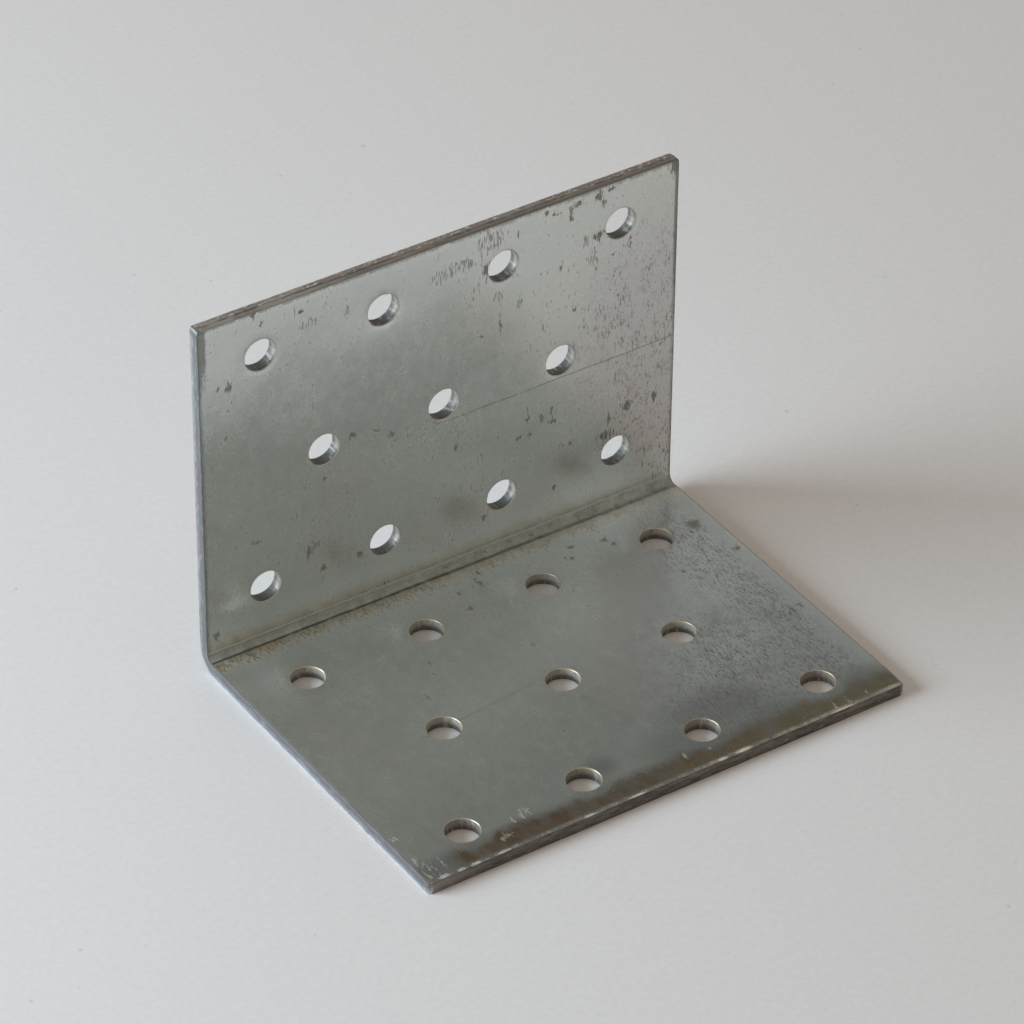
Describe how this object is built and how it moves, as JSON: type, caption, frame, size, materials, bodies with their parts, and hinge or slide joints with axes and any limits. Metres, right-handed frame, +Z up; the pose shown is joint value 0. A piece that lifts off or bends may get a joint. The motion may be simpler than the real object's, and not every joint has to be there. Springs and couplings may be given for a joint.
{
  "type": "perforated angle bracket",
  "caption": "Right-angle bracket folded from one perforated steel sheet, with rows of nail and screw holes in both legs for joining timbers.",
  "frame": {"origin": "middle of the base leg's underside, where the bracket stands", "axes": "+X along the fold, +Y from the base leg's free edge towards the upright leg, +Z up the upright leg"},
  "size_m": [0.08, 0.06, 0.0587],
  "materials": {
    "galvanised_sheet": "weathered zinc with a low sheen, rusty at the cut edges"
  },
  "bodies": {
    "root": {"angle_bracket": "galvanised_sheet"}
  },
  "joints": []
}
